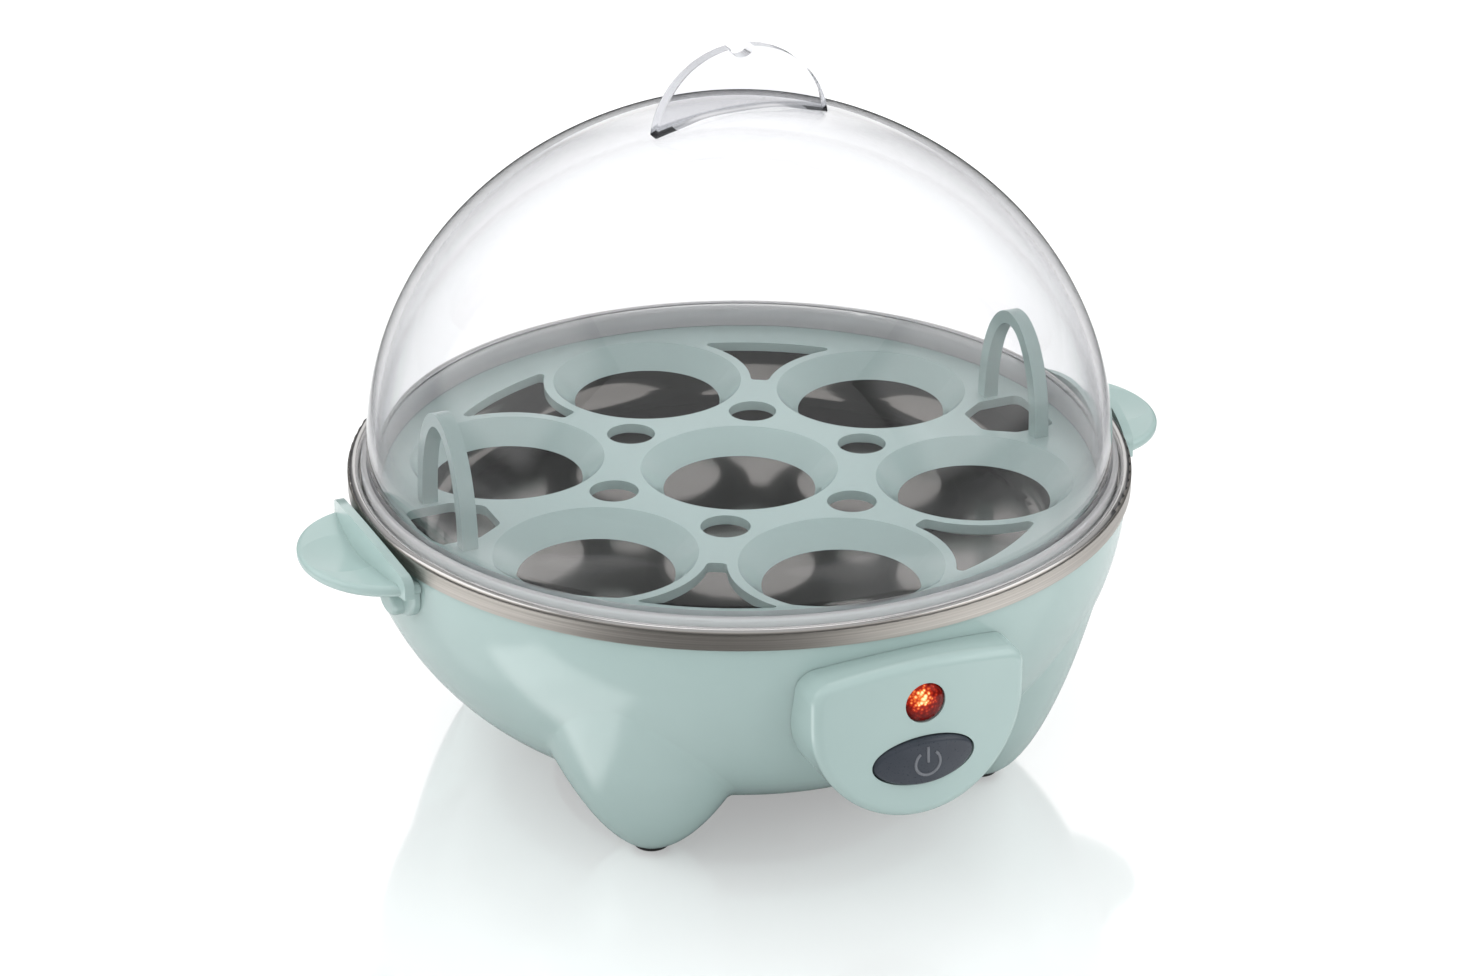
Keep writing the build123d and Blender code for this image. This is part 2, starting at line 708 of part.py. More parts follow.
with BuildPart() as thermostat:
    with BuildSketch(Plane.XY.offset(spreader_underside - thermostat_height)):
        Circle(thermostat_radius)
    extrude(amount=thermostat_height)
    fillet(thermostat.edges().group_by(Axis.Z)[0], thermostat_round)
    for side in (-1, 1):
        with BuildSketch(Plane.XY.offset(thermostat_tab_top - terminal_length)):
            with Locations((0, side * thermostat_tab_offset)):
                Rectangle(terminal_width, terminal_thickness)
        extrude(amount=terminal_length)
save(thermostat.part, "thermostat")

with BuildPart() as thermostat_clip:
    strap_height = spreader_underside - thermostat_height - slip
    with BuildSketch(Plane.XZ.offset(-clip_width / 2)):
        with BuildLine():
            Polyline(
                (-clip_half_span, spreader_underside - clip_thickness / 2),
                (-clip_arch_half_span, spreader_underside - clip_thickness / 2),
                (-clip_arch_half_span, strap_height - clip_thickness / 2),
                (clip_arch_half_span, strap_height - clip_thickness / 2),
                (clip_arch_half_span, spreader_underside - clip_thickness / 2),
                (clip_half_span, spreader_underside - clip_thickness / 2),
            )
        trace(line_width=clip_thickness)
    extrude(amount=clip_width)
save(thermostat_clip.part, "thermostat_clip")

with BuildPart() as thermal_fuse:
    with BuildSketch(Plane.YZ.offset(-fuse_length / 2)):
        with Locations((fuse_offset, spreader_underside - fuse_radius - slip)):
            Circle(fuse_radius)
    extrude(amount=fuse_length)
    fillet(thermal_fuse.edges(), fuse_radius / 3)
save(thermal_fuse.part, "thermal_fuse")

with BuildPart() as plate_studs:
    with BuildSketch(Plane.XY.offset(plate_underside - stud_length)):
        with Locations(*[around(stud_circle_radius, angle) for angle in foot_angles]):
            Circle(stud_radius)
    extrude(amount=stud_length)
save(plate_studs.part, "plate_studs")

with BuildPart() as stud_nuts:
    with BuildSketch(Plane.XY.offset(lug_height - nut_height)):
        with Locations(*[around(stud_circle_radius, angle) for angle in foot_angles]):
            RegularPolygon(nut_across / 2, 6, major_radius=False)
            Circle(stud_radius + slip, mode=Mode.SUBTRACT)
    extrude(amount=nut_height)
save(stud_nuts.part, "stud_nuts")

# ---------------------------------------------------------------- egg rack
seat_spots = [(0, 0)] + [around(seat_circle_radius, 360 / seat_count * index) for index in range(seat_count)]
gap_angles = [360 / seat_count * (index + 0.5) for index in range(seat_count)]
open_gaps = [angle for angle in gap_angles if angle % 180 != 90]
seat_slope = (seat_rim_radius - seat_hole_radius) / seat_depth

with BuildPart() as egg_rack:
    with BuildSketch(Plane.XY.offset(ledge_height)):
        Circle(rack_radius)
    extrude(amount=rack_thickness)
    fillet(egg_rack.edges().group_by(Axis.Z)[-1], rack_edge_round)
    # the seats are funnels that hang below the disc
    funnel_outer = seat_hole_radius + seat_wall
    for spot in seat_spots:
        with Locations((*spot, rack_top - seat_depth / 2)):
            Cone(funnel_outer, funnel_outer + seat_slope * seat_depth, seat_depth)
    for spot in seat_spots:
        with Locations((*spot, rack_top - seat_depth / 2)):
            Cone(seat_hole_radius, seat_rim_radius, seat_depth, mode=Mode.SUBTRACT)
    # drain holes round the centre seat
    with BuildSketch(Plane.XY.offset(ledge_height)):
        with Locations(*[around(drain_circle_radius, angle) for angle in gap_angles]):
            Circle(drain_hole_radius)
    extrude(amount=rack_thickness, mode=Mode.SUBTRACT)
    # three-sided steam openings between the outer seats
    for angle in open_gaps:
        with BuildSketch(Plane.XY.offset(ledge_height)) as opening:
            with Locations(around((vent_apex_radius + vent_outer_radius) / 2, angle)):
                Rectangle(vent_outer_radius, vent_outer_radius - vent_apex_radius, rotation=angle)
            with Locations((0, 0)):
                Circle(vent_outer_radius, mode=Mode.INTERSECT)
            with Locations(*seat_spots[1:]):
                Circle(vent_side_radius, mode=Mode.SUBTRACT)
            fillet(opening.vertices(), vent_corner_round)
        extrude(amount=rack_thickness, mode=Mode.SUBTRACT)
    # round-cornered opening under each lifting loop, and the loop itself
    window_outer = loop_offset + loop_window_outer_reach
    window_knee = loop_offset - loop_window_straight
    window_inner = loop_offset - loop_window_inner_reach
    for side in (-1, 1):
        with BuildSketch(Plane.XY.offset(ledge_height)) as opening:
            with BuildLine():
                Polyline(
                    (side * window_outer, -loop_window_half_width),
                    (side * window_outer, loop_window_half_width),
                    (side * window_knee, loop_window_half_width),
                    (side * window_inner, loop_window_half_width - loop_window_narrowing),
                    (side * window_inner, loop_window_narrowing - loop_window_half_width),
                    (side * window_knee, -loop_window_half_width),
                    close=True,
                )
            make_face()
            fillet(opening.vertices(), loop_window_round)
        extrude(amount=rack_thickness, mode=Mode.SUBTRACT)
        with BuildSketch(side_plane(side, loop_offset - loop_thickness / 2)):
            with Locations((0, rack_top)):
                Ellipse(loop_half_span, loop_height)
                Ellipse(loop_half_span - loop_leg, loop_height - loop_bar, mode=Mode.SUBTRACT)
            with Locations((0, rack_top + loop_height / 2)):
                Rectangle(2 * loop_half_span, loop_height, mode=Mode.INTERSECT)
        extrude(amount=loop_thickness)
save(egg_rack.part, "egg_rack")

# ---------------------------------------------------------------- clear lid and its grip
with BuildPart() as lid_dome:
    add(dome_solid(0.0))
    add(dome_solid(lid_wall), mode=Mode.SUBTRACT)
    add(ring_blank(lid_flange_inner_radius, lid_radius - lid_wall / 2, ledge_height, lid_flange_thickness))
save(lid_dome.part, "lid_dome")

grip_end_rise = (1 - (grip_half_width / lid_radius) ** dome_side_power) ** (1 / dome_top_power)
grip_end_height = ledge_height - lid_equator_drop + (lid_height + lid_equator_drop) * grip_end_rise
grip_top = grip_end_height + grip_height

with BuildPart() as lid_grip:
    with BuildSketch(Plane.XZ.offset(-grip_thickness / 2)) as outline:
        with BuildLine():
            left = (-grip_half_width, grip_end_height - grip_root)
            right = (grip_half_width, grip_end_height - grip_root)
            ThreePointArc(left, (0, grip_top), right)
            Line(right, left)
        make_face()
    extrude(amount=grip_thickness)
    fillet(lid_grip.edges().filter_by(GeomType.CIRCLE), grip_bevel)
    with BuildSketch(Plane.XZ.offset(-grip_thickness / 2)):
        with Locations((0, grip_top)):
            Ellipse(grip_notch_width / 2, grip_notch_depth)
    extrude(amount=grip_thickness, mode=Mode.SUBTRACT)
    add(dome_solid(-slip), mode=Mode.SUBTRACT)
save(lid_grip.part, "lid_grip")

# ---------------------------------------------------------------- side grips
def grip_shield(side):
    """Arched wall that stands on the leaf and follows the band."""
    with BuildPart() as shield:
        with BuildSketch(side_plane(side, ledge_inner_radius)) as arch:
            with BuildLine():
                Polyline(
                    (shield_half_width, shield_shoulder),
                    (shield_half_width, leaf_top - leaf_thickness),
                    (-shield_half_width, leaf_top - leaf_thickness),
                    (-shield_half_width, shield_shoulder),
                )
                ThreePointArc(
                    (-shield_half_width, shield_shoulder),
                    (0, shield_top),
                    (shield_half_width, shield_shoulder),
                )
            make_face()
            fillet(arch.vertices().group_by(Axis.Y)[-1], shield_corner_round)
        extrude(amount=rim_radius)
        curved_wall = ring_blank(shield_inner_radius, shield_inner_radius + shield_thickness, 0, dome_top)
        add(curved_wall, mode=Mode.INTERSECT)
    return shield.part


def outer_face(part, side):
    """Face that lies furthest out on the given side."""
    return part.faces().sort_by(Axis.X)[-1 if side > 0 else 0]


def grip_foot(side, offset):
    """Round-ended foot that hugs the bowl under the leaf."""
    with BuildPart() as foot:
        with BuildSketch(side_plane(side, ledge_inner_radius)):
            with Locations((offset, grip_foot_height)):
                Circle(grip_foot_radius)
            with Locations((offset, (grip_foot_height + leaf_middle) / 2)):
                Rectangle(2 * grip_foot_radius, leaf_middle - grip_foot_height)
        extrude(amount=rim_radius)
        skin = bowl_solid(-slip - grip_foot_thickness, bowl_floor_height, leaf_middle)
        add(skin, mode=Mode.INTERSECT)
        fillet(outer_face(foot, side).edges().sort_by(Axis.Z)[:-1], grip_foot_round)
    return foot.part


def grip_boss(side, offset):
    """Boss on a foot, round its screw."""
    with BuildPart() as boss:
        with BuildSketch(side_plane(side, ledge_inner_radius)):
            with Locations((offset, side_screw_height)):
                Circle(grip_boss_radius)
        extrude(amount=rim_radius)
        skin = bowl_solid(-slip - grip_boss_thickness, bowl_floor_height, leaf_middle)
        add(skin, mode=Mode.INTERSECT)
        fillet(outer_face(boss, side).edges(), grip_boss_round)
    return boss.part


for name, side in (("left", -1), ("right", 1)):
    with BuildPart() as handle:
        with BuildSketch(Plane.XY.offset(leaf_top - leaf_thickness)):
            with Locations((side * leaf_centre_radius, 0)):
                Ellipse(leaf_reach, leaf_half_chord)
            with Locations((side * (leaf_centre_radius - leaf_root + rim_radius / 2), 0)):
                Rectangle(rim_radius, rim_radius, mode=Mode.INTERSECT)
        extrude(amount=leaf_thickness)
        fillet(handle.edges().filter_by(lambda edge: edge.length > 2 * leaf_half_chord), leaf_edge_round)
        with Locations((side * leaf_dish_centre, 0, leaf_top - leaf_dish_depth + leaf_dish_radius)):
            Sphere(leaf_dish_radius, mode=Mode.SUBTRACT)
        add(grip_shield(side))
        for offset in (-side_screw_offset, side_screw_offset):
            add(grip_foot(side, offset))
            add(grip_boss(side, offset))
        add(bowl_skin, mode=Mode.SUBTRACT)
        with BuildSketch(side_plane(side, side_screw_seat)):
            with Locations(*side_screw_spots):
                Circle(screw_hole_radius)
        extrude(amount=side_screw_length + slip, mode=Mode.SUBTRACT)
    save(handle.part, f"{name}_handle")

# ---------------------------------------------------------------- control panel
def panel_outline(inset):
    """Shield outline of the panel: arched top, round lower edge."""
    half = panel_half_width - inset
    corner = panel_side_top - inset
    with BuildSketch(mode=Mode.PRIVATE) as outline:
        with BuildLine():
            Line((-half, corner), (-half, panel_centre_height))
            lowest = (0, panel_centre_height - half)
            ThreePointArc((-half, panel_centre_height), lowest, (half, panel_centre_height))
            Line((half, panel_centre_height), (half, corner))
            ThreePointArc((half, corner), (0, panel_top - inset), (-half, corner))
        make_face()
        fillet(outline.vertices().group_by(Axis.Y)[-1], panel_corner_round - inset)
    return outline.sketch


def panel_bosses():
    """Screw bosses from the back of the panel's face to the bowl."""
    with BuildPart() as bosses:
        with BuildSketch(Plane.XZ.offset(window_inner_depth)):
            with Locations(*panel_screw_spots):
                Circle(panel_boss_radius)
        extrude(amount=panel_back_face + slip - window_inner_depth)
        add(bowl_skin, mode=Mode.SUBTRACT)
    return bosses.part


with BuildPart() as control_panel:
    with BuildSketch(Plane.XZ.offset(window_inner_depth)):
        add(panel_outline(0.0))
    extrude(amount=panel_front - window_inner_depth)
    with Locations((0, crown_radius - panel_front, panel_centre_height)):
        Cylinder(crown_radius, 2 * panel_half_width + panel_top, mode=Mode.INTERSECT)
    fillet(control_panel.faces().sort_by(Axis.Y)[0].edges(), panel_edge_round)
    with BuildSketch(Plane.XZ.offset(window_inner_depth)):
        add(panel_outline(panel_wall))
    extrude(amount=panel_back_face - window_inner_depth, mode=Mode.SUBTRACT)
    add(bowl_skin, mode=Mode.SUBTRACT)
    add(panel_bosses())
    # rails that carry the switch
    with BuildSketch(Plane.XZ.offset(rail_end)):
        with Locations((0, button_height)):
            with GridLocations(2 * rail_offset, switch_height + 2 * slip + rail_thickness, 2, 2):
                Rectangle(rail_width, rail_thickness)
    extrude(amount=panel_back_face + slip - rail_end)
    with BuildSketch(Plane.XZ.offset(panel_screw_seat)):
        with Locations(*panel_screw_spots):
            Circle(screw_hole_radius)
    extrude(amount=screw_length + slip, mode=Mode.SUBTRACT)
    # holes for the lamp and the button
    with BuildSketch(Plane.XZ.offset(window_inner_depth)):
        with Locations((0, lamp_height)):
            Circle(lamp_radius)
        with Locations((0, button_height)):
            Ellipse(button_half_width + button_clearance, button_half_height + button_clearance)
    extrude(amount=rim_radius, mode=Mode.SUBTRACT)
save(control_panel.part, "control_panel")

with BuildPart() as indicator_lens:
    with BuildSketch(Plane.XZ.offset(panel_back_face - lens_flange)):
        with Locations((0, lamp_height)):
            Circle(lamp_radius + lens_flange)
    extrude(amount=lens_flange)
    with BuildSketch(Plane.XZ.offset(panel_back_face)):
        with Locations((0, lamp_height)):
            Circle(lamp_radius - slip)
    extrude(amount=panel_front + lens_proud - panel_back_face)
    fillet(indicator_lens.edges().group_by(Axis.Y)[0], lens_dome_round)
    with BuildSketch(Plane.XZ.offset(lens_sleeve_end)):
        with Locations((0, lamp_height)):
            Circle(lamp_radius)
            Circle(neon_radius + slip, mode=Mode.SUBTRACT)
    extrude(amount=panel_back_face - lens_flange - lens_sleeve_end)
save(indicator_lens.part, "indicator_lens")

with BuildPart() as neon_lamp:
    with BuildSketch(Plane.XZ.offset(neon_front - neon_length)):
        with Locations((0, lamp_height)):
            Circle(neon_radius)
    extrude(amount=neon_length)
    fillet(neon_lamp.edges().group_by(Axis.Y)[0], neon_radius * 0.9)
    with BuildSketch(Plane.XZ.offset(neon_front - neon_length - neon_lead_length)):
        with Locations((-neon_radius / 2, lamp_height), (neon_radius / 2, lamp_height)):
            Circle(terminal_thickness / 2)
    extrude(amount=neon_lead_length)
save(neon_lamp.part, "neon_lamp")

# ---------------------------------------------------------------- button and its switch
with BuildPart() as power_button:
    with BuildSketch(Plane.XZ.offset(button_back)):
        with Locations((0, button_height)):
            Ellipse(button_half_width, button_half_height)
    extrude(amount=panel_front + button_dome_radius - button_back)
    with Locations((0, button_dome_radius - panel_front - button_proud, button_height)):
        Sphere(button_dome_radius, mode=Mode.INTERSECT)
    fillet(power_button.faces().sort_by(Axis.Y)[0].edges(), button_round)
    with BuildSketch(Plane.XZ.offset(button_back)):
        with Locations((0, button_height)):
            Ellipse(button_half_width + button_lip, button_half_height + button_lip)
    extrude(amount=button_lip)
    with BuildSketch(Plane.XZ.offset(switch_face - plunger_reach)):
        with Locations((0, button_height)):
            Circle(plunger_radius)
    extrude(amount=button_back - switch_face + plunger_reach)
save(power_button.part, "power_button")

with BuildPart() as switch_body:
    with BuildSketch(Plane.XZ.offset(switch_face - switch_depth)):
        with Locations((0, button_height)):
            RectangleRounded(switch_width, switch_height, switch_round)
    extrude(amount=switch_depth)
    with BuildSketch(Plane.XZ.offset(switch_face - plunger_reach - button_travel - plunger_clearance)):
        with Locations((0, button_height)):
            Circle(plunger_radius + plunger_clearance)
    extrude(amount=plunger_reach + button_travel + plunger_clearance, mode=Mode.SUBTRACT)
save(switch_body.part, "switch_body")

with BuildPart() as switch_terminals:
    with BuildSketch(Plane.XZ.offset(switch_face - switch_depth - terminal_length)):
        with Locations((-switch_width / 4, button_height), (switch_width / 4, button_height)):
            Rectangle(terminal_thickness, terminal_width)
    extrude(amount=terminal_length)
save(switch_terminals.part, "switch_terminals")
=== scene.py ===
import json
import math

import bmesh
import bpy
import numpy as np
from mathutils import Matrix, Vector


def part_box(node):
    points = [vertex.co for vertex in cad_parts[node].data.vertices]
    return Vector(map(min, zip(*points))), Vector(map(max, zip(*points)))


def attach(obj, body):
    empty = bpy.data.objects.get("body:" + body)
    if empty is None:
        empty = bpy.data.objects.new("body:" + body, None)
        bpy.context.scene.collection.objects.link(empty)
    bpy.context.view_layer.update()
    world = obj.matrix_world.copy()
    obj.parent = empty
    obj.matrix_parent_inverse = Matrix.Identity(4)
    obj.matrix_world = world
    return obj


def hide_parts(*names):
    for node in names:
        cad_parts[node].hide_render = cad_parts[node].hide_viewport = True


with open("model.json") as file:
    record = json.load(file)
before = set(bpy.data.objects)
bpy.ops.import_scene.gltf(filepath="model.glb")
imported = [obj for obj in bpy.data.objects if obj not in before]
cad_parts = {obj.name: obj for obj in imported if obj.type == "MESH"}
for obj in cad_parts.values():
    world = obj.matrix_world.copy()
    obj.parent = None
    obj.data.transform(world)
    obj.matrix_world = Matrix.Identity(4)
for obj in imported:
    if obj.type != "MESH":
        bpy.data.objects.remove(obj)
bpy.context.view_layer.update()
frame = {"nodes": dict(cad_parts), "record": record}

# Looks of the egg cooker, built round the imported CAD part. Metres, the part's own frame:
# +Z up, the control panel faces -Y, the side grips lie on X.

MM = 0.001
nodes = frame["nodes"]
scene = bpy.context.scene

# Outline of the dome, as on the CAD lid: a radius of base * (1 - rise ** TOP) ** (1 / SIDE),
# where rise goes from 0 at the dome's widest level to 1 at its crown. Lengths in millimetres.
DOME_TOP_POWER = 2.5
DOME_SIDE_POWER = 1.76
DOME_WALL = 2.0
DOME_EQUATOR_DROP = 4.9         # the widest level lies this far under the lid's foot
DOME_STEPS = 72
FLANGE_INNER_RADIUS = 74.6
FLANGE_THICKNESS = 2.0
COLLAR_HEIGHT = 6.6             # thick clear collar round the foot
COLLAR_ROUND = 0.7
COLLAR_STEP = 0.15              # from the collar's top edge in to the wall
COLLAR_GAP = 0.3                # the wall's points begin this far above the collar
COLLAR_MARGIN = 0.05            # faces up to this far above the collar get its material
WAIST_INSET = 1.0               # the wall stands this far inside the outline above the collar
WAIST_REACH = 26.0              # and comes back to it over this height

# Ring of the steel bowl that is brushed, and the level at which its polished roll begins
BRUSHED_RADIUS = 79.0 * MM
BRUSHED_TOP = 62.5 * MM

# Button and its sign
BUTTON_DOME_RADIUS = 30.0 * MM
MARK_RADIUS = 2.6 * MM
MARK_HALF_WIDTH = 0.34 * MM
MARK_PROUD = 0.20 * MM
MARK_SUNK = 0.25 * MM
MARK_GAP = 76                   # degrees of the ring left open at its top

# Indicator lens
JEWEL_RADIUS = 4.2 * MM
JEWEL_FACETS = 18
JEWEL_FLANGE_BACK = 2.95 * MM   # from the front of the jewel to its flange
JEWEL_FLANGE_THICKNESS = 1.2 * MM
JEWEL_SKIRT_BACK = 1.5 * MM

# Camera
AZIMUTH = math.radians(-24.3)
ELEVATION = math.radians(25.49)
DISTANCE = 912 * MM
AIM_HEIGHT = 54.7 * MM
AIM_LEFT = 0.5 * MM
LENS = 108.5
SENSOR = 36.0

CLEAR_IOR = 1.49
GRIP_IOR = 1.15                 # lower, as light trapped in the grip's edge would render it black
WHITE = (1, 1, 1, 1)


# ---------------------------------------------------------------- node helpers
class Tree:
    """The node tree of a material or world, with short calls for the nodes used here."""

    def __init__(self, owner, output="ShaderNodeOutputMaterial"):
        owner.use_nodes = True
        self.owner = owner
        self.tree = owner.node_tree
        self.tree.nodes.clear()
        self.output = self.tree.nodes.new(output)

    def node(self, kind, inputs=None, **settings):
        made = self.tree.nodes.new(kind)
        for key, value in settings.items():
            setattr(made, key, value)
        for key, value in (inputs or {}).items():
            self.put(made.inputs[key], value)
        return made

    def put(self, socket, value):
        if isinstance(value, bpy.types.NodeSocket):
            self.tree.links.new(value, socket)
        else:
            socket.default_value = value

    def math(self, operation, *values):
        return self.node("ShaderNodeMath", dict(enumerate(values)), operation=operation).outputs[0]

    def product(self, first, *others):
        for other in others:
            first = self.math("MULTIPLY", first, other)
        return first

    def distance(self, x, y):
        """Length of the vector with these two coordinates."""
        return self.math("SQRT", self.math("ADD", self.product(x, x), self.product(y, y)))

    def ramp(self, value, *stops):
        made = self.node("ShaderNodeValToRGB", {"Fac": value})
        elements = made.color_ramp.elements
        while len(elements) < len(stops):
            elements.new(0.5)
        for element, (position, colour) in zip(elements, stops):
            element.position = position
            element.color = (*colour, 1)
        return made.outputs["Color"]

    def grey_ramp(self, value, first, last):
        """Plain number that goes from the one (place, value) to the other."""
        return self.ramp(value, *((position, (level,) * 3) for position, level in (first, last)))

    def band(self, value, low, high):
        """0 below low, 1 above high, smooth between them. The other way round if low is the larger."""
        limits = {"Value": value, "From Min": low, "From Max": high}
        return self.node("ShaderNodeMapRange", limits, interpolation_type="SMOOTHSTEP").outputs["Result"]

    def blend(self, share, first, second, blend_type="MIX"):
        inputs = {"Factor": share, "A": first, "B": second}
        return self.node("ShaderNodeMix", inputs, data_type="RGBA", blend_type=blend_type).outputs[2]

    def tint(self, colour, by, share=1.0):
        return self.blend(share, colour, by, "MULTIPLY")

    def noise(self, vector, scale, detail, roughness=0.5):
        inputs = {"Vector": vector, "Scale": scale, "Detail": detail, "Roughness": roughness}
        return self.node("ShaderNodeTexNoise", inputs).outputs["Fac"]

    def bump(self, height, strength, distance):
        inputs = {"Height": height, "Strength": strength, "Distance": distance}
        return self.node("ShaderNodeBump", inputs).outputs["Normal"]

    def place(self):
        """Position in the part's frame, in metres, moving with the piece."""
        return self.node("ShaderNodeTexCoord").outputs["Object"]

    def split(self, vector):
        made = self.node("ShaderNodeSeparateXYZ", {"Vector": vector})
        return made.outputs["X"], made.outputs["Y"], made.outputs["Z"]

    def join(self, x, y, z):
        return self.node("ShaderNodeCombineXYZ", {"X": x, "Y": y, "Z": z}).outputs["Vector"]

    def vector_math(self, operation, *values):
        return self.node("ShaderNodeVectorMath", dict(enumerate(values)), operation=operation)

    def shader(self, kind, colour, **inputs):
        return self.node("ShaderNode" + kind, {"Color": colour, **inputs}).outputs[0]

    def mix(self, share, first, second):
        return self.node("ShaderNodeMixShader", {0: share, 1: first, 2: second}).outputs[0]

    def add(self, first, second):
        return self.node("ShaderNodeAddShader", {0: first, 1: second}).outputs[0]

    def surface(self, shader):
        self.tree.links.new(shader, self.output.inputs["Surface"])
        return self.owner

    def principled(self, **inputs):
        inputs = {key.replace("_", " "): value for key, value in inputs.items()}
        return self.surface(self.node("ShaderNodeBsdfPrincipled", inputs).outputs[0])


def material_tree(name):
    return Tree(bpy.data.materials.new(name))


def polar(t, place):
    """Radius, length round a circle of 80 mm and height of a place."""
    x, y, z = t.split(place)
    return t.distance(x, y), t.product(t.math("ARCTAN2", y, x), 80 * MM), z


# ---------------------------------------------------------------- materials
def mint_plastic():
    """Glossy moulded plastic with faint clouds in its colour and a slow wave in its surface."""
    t = material_tree("mint_plastic")
    place = t.place()
    return t.principled(
        Base_Color=t.ramp(
            t.noise(place, 28.0, 3.0), (0.3, (0.374, 0.490, 0.471)), (0.7, (0.396, 0.514, 0.495)),
        ),
        Roughness=t.grey_ramp(t.noise(place, 320.0, 4.0), (0.25, 0.13), (0.75, 0.18)),
        Normal=t.bump(t.noise(place, 30.0, 0.0), 0.10, 0.10 * MM),
        IOR=1.5,
    )


def foot_shade(t, facing, place, colour):
    """Darkens the dome's wall low down, where it is seen edge on."""
    height = t.split(place)[2]
    share = t.product(t.band(facing, 0.62, 0.84), t.band(height, 98.0 * MM, 72.0 * MM))
    return t.tint(colour, (0.50, 0.51, 0.53, 1), share)


def seat_shade(t, facing, place, colour):
    """Darkens the grip just above the dome, by its height over the dome's outline."""
    low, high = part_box("lid_dome")
    radius, around, z = polar(t, place)
    share = t.math("POWER", t.math("DIVIDE", radius, high.x), 1.9)
    crown = t.product(t.math("POWER", t.math("SUBTRACT", 1.0, share), 0.42), high.z - low.z)
    above = t.band(t.math("SUBTRACT", z, t.math("ADD", crown, low.z)), 0.3 * MM, 0.8 * MM)
    return t.tint(colour, t.ramp(above, (0.0, (0.34, 0.35, 0.37)), (1.0, (0.82, 0.82, 0.835))))


def clear_plastic(name, ior, clear=1.0, shade=None):
    """Clear plastic whose colour greys where it is seen edge on: painted shade for its dark edges."""
    t = material_tree(name)
    place = t.place()
    absorbing = t.shader("VolumeAbsorption", (0.50, 0.50, 0.53, 1), Density=8.0)
    t.tree.links.new(absorbing, t.output.inputs["Volume"])
    facing = t.node("ShaderNodeLayerWeight", {"Blend": 0.5}).outputs["Facing"]
    # painted shade: the colour greys towards the edges, where the wall is seen edge on
    colour = t.ramp(
        facing, (0.0, (0.975, 0.975, 0.985)), (0.55, (0.95, 0.95, 0.96)), (0.72, (0.90, 0.90, 0.91)),
        (0.84, (0.76, 0.765, 0.775)), (1.0, (0.55, 0.56, 0.57)),
    )
    return t.principled(
        Base_Color=shade(t, facing, place, colour) if shade else colour,
        Roughness=t.grey_ramp(t.noise(place, 60.0, 3.0), (0.35, 0.0), (0.8, 0.012)),
        IOR=ior,
        Transmission_Weight=clear,
        Normal=t.bump(t.noise(place, 30.0, 0.0), 0.05, 0.10 * MM),
    )


def plate_steel():
    """Stainless steel: polished bowl and roll, brushed band outside, and the floor inside darkened with
    painted shade.
    """
    t = material_tree("steel")
    radius, around, z = polar(t, t.place())
    on_band = t.band(radius, 77.0 * MM, 78.0 * MM)
    streaks = t.noise(
        t.join(t.product(around, 12.0), t.product(radius, 700.0), t.product(z, t.product(on_band, 2600.0))),
        1.0, 4.0, 0.6,
    )
    patches = t.noise(t.join(around, radius, z), 55.0, 3.0)
    brushed = t.product(
        t.band(radius, BRUSHED_RADIUS - 0.1 * MM, BRUSHED_RADIUS + 0.1 * MM),
        t.band(z, BRUSHED_TOP + 0.05 * MM, BRUSHED_TOP - 0.05 * MM),
    )
    polished_colour = t.ramp(streaks, (0.3, (0.62, 0.615, 0.61)), (0.7, (0.70, 0.695, 0.69)))
    brushed_colour = t.ramp(streaks, (0.3, (0.38, 0.36, 0.335)), (0.7, (0.62, 0.595, 0.56)))
    # painted shade: the steel floor inside the rim is darkened to about a third of its colour
    painted_floor_shade = t.ramp(t.band(radius, 72.5 * MM, 73.5 * MM), (0.0, (0.33, 0.32, 0.305)), (1.0, (1, 1, 1)))
    patch_tone = t.blend(patches, (0.90, 0.88, 0.86, 1), WHITE)
    brushed_rough = t.math("ADD", 0.26, t.product(streaks, 0.16))
    polished_rough = t.math("ADD", 0.10, t.product(patches, 0.08))
    rough = t.node("ShaderNodeMix", {"Factor": brushed, "A": polished_rough, "B": brushed_rough})
    return t.principled(
        Base_Color=t.tint(t.blend(brushed, polished_colour, brushed_colour), t.tint(painted_floor_shade, patch_tone)),
        Metallic=1.0,
        Roughness=rough.outputs[0],
        Normal=t.bump(t.product(streaks, brushed), 0.25, 0.015 * MM),
        Anisotropic=0.55,
        Tangent=t.node("ShaderNodeTangent", direction_type="RADIAL", axis="Z").outputs[0],
    )


def dark_rubber():
    t = material_tree("dark_rubber")
    place = t.place()
    speck = t.noise(place, 1800.0, 3.0)
    return t.principled(
        Base_Color=t.ramp(t.noise(place, 300.0, 3.0), (0.3, (0.012,) * 3), (0.7, (0.022, 0.022, 0.024))),
        Roughness=t.grey_ramp(speck, (0.3, 0.5), (0.7, 0.68)),
        Normal=t.bump(speck, 0.4, 0.05 * MM),
    )


def button_grey():
    t = material_tree("button_grey")
    place = t.place()
    grain = t.noise(place, 2400.0, 2.0)
    return t.principled(
        Base_Color=t.ramp(
            t.noise(place, 200.0, 3.0), (0.3, (0.040, 0.047, 0.060)), (0.7, (0.048, 0.056, 0.070)),
        ),
        Roughness=t.grey_ramp(grain, (0.2, 0.26), (0.8, 0.32)),
        Normal=t.bump(grain, 0.10, 0.02 * MM),
        IOR=1.38,
    )


def mark_grey():
    t = material_tree("mark_grey")
    fleck = t.noise(t.place(), 3000.0, 2.0)
    return t.principled(
        Base_Color=t.ramp(fleck, (0.3, (0.14, 0.15, 0.17)), (0.7, (0.17, 0.18, 0.20))),
        Roughness=t.grey_ramp(fleck, (0.3, 0.38), (0.7, 0.46)),
    )


